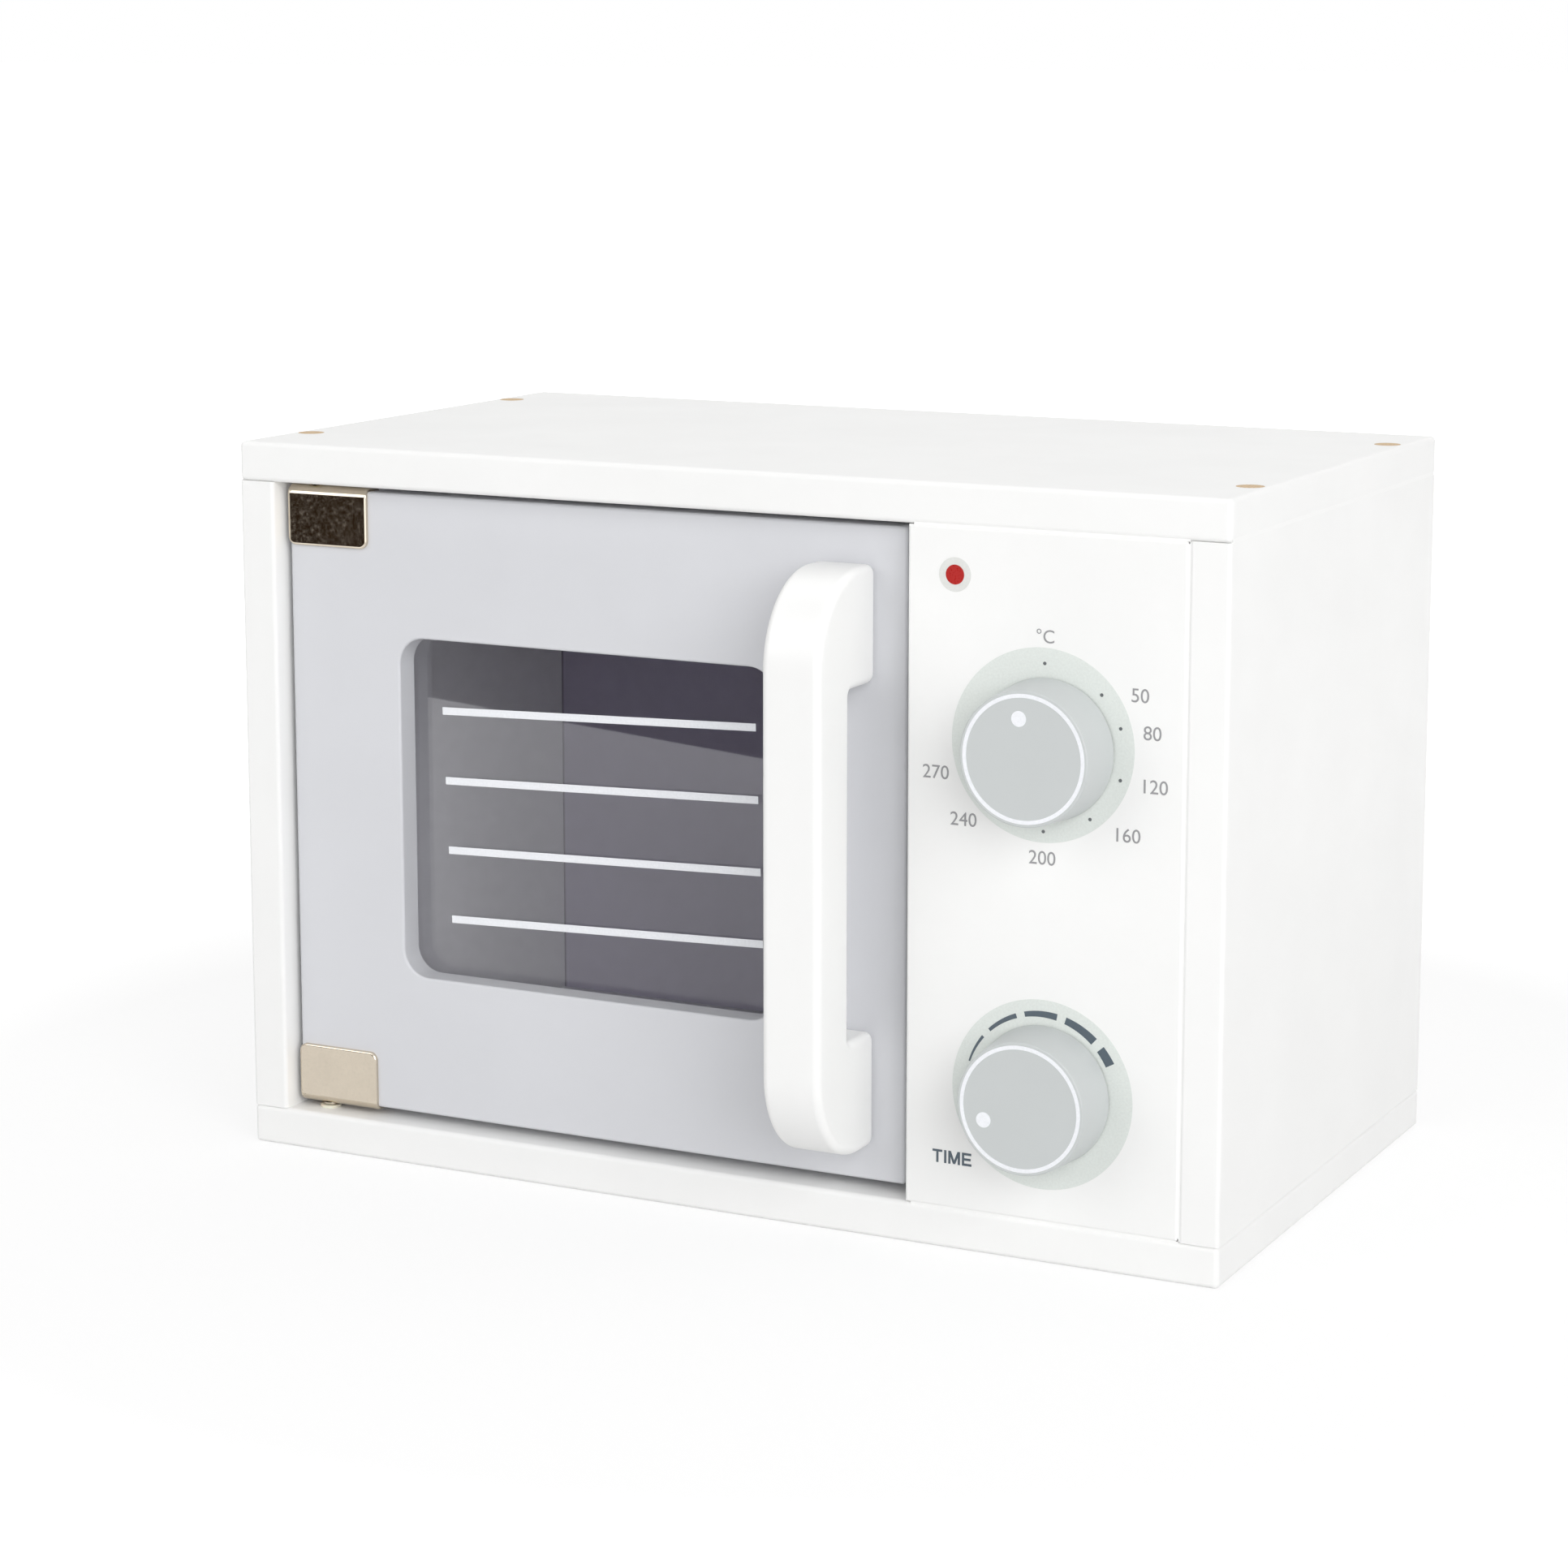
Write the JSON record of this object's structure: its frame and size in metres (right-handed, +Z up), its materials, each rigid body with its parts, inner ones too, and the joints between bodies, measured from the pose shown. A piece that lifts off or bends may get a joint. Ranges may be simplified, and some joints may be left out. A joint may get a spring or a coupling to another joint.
{
  "type": "toy microwave oven",
  "caption": "White wooden play microwave with a hinged blue-grey door, smoked window, D handle and turning knobs.",
  "frame": {"origin": "middle of the case's underside", "axes": "+X to the right across the front, +Y from the front to the back, +Z up"},
  "size_m": [0.32, 0.2098, 0.22],
  "materials": {
    "case_paint": "satin white paint on board",
    "back_paint": "white painted thin board",
    "handle_paint": "satin white paint on wood",
    "door_paint": "satin blue-grey paint on board",
    "bare_wood": "bare hardwood",
    "zinc_steel": "zinc plated",
    "nickel_plate": "bright nickel plate",
    "ferrite": "matte dark grey",
    "bush_nylon": "natural nylon",
    "catch_plastic": "moulded white plastic",
    "smoked_acrylic": "clear smoked sheet",
    "knob_plastic": "moulded light grey plastic",
    "pad_rubber": "matte black"
  },
  "bodies": {
    "case": {"top_panel": "case_paint", "bottom_panel": "case_paint", "left_side_panel": "case_paint", "right_side_panel": "case_paint", "back_panel": "back_paint", "divider_panel": "case_paint", "control_panel": "case_paint", "panel_battens": "bare_wood", "batten_screws": "zinc_steel", "top_dowels": "bare_wood", "bottom_dowels": "bare_wood", "upper_pin_bush": "bush_nylon", "lower_pin_bush": "bush_nylon", "thrust_washer": "bush_nylon", "catch_housing": "catch_plastic", "catch_magnet": "ferrite", "catch_poles": "zinc_steel", "catch_screws": "zinc_steel"},
    "door": {"door_panel": "door_paint", "window_pane": "smoked_acrylic", "pane_screws": "zinc_steel", "handle": "handle_paint", "handle_screws": "zinc_steel", "upper_hinge_clip": "nickel_plate", "lower_hinge_clip": "nickel_plate", "upper_hinge_pin": "nickel_plate", "lower_hinge_pin": "nickel_plate", "clamp_screws": "nickel_plate", "clamp_pads": "pad_rubber", "strike_plate": "zinc_steel", "strike_screws": "zinc_steel"},
    "temperature_dial": {"temperature_knob": "knob_plastic", "temperature_knob_washer": "zinc_steel", "temperature_knob_screw": "zinc_steel"},
    "timer_dial": {"timer_knob": "knob_plastic", "timer_knob_washer": "zinc_steel", "timer_knob_screw": "zinc_steel"}
  },
  "joints": [
    {"name": "door_hinge", "type": "hinge", "parent": "case", "child": "door", "pos_m": [-0.1375, -0.081, 0.1104], "axis": [0, 0, -1], "range_deg": [0, 115]},
    {"name": "temperature_turn", "type": "hinge", "parent": "case", "child": "temperature_dial", "pos_m": [0.107, -0.09, 0.1476], "axis": [0, -1, 0], "continuous": true},
    {"name": "timer_turn", "type": "hinge", "parent": "case", "child": "timer_dial", "pos_m": [0.107, -0.09, 0.0491], "axis": [0, -1, 0], "continuous": true}
  ]
}
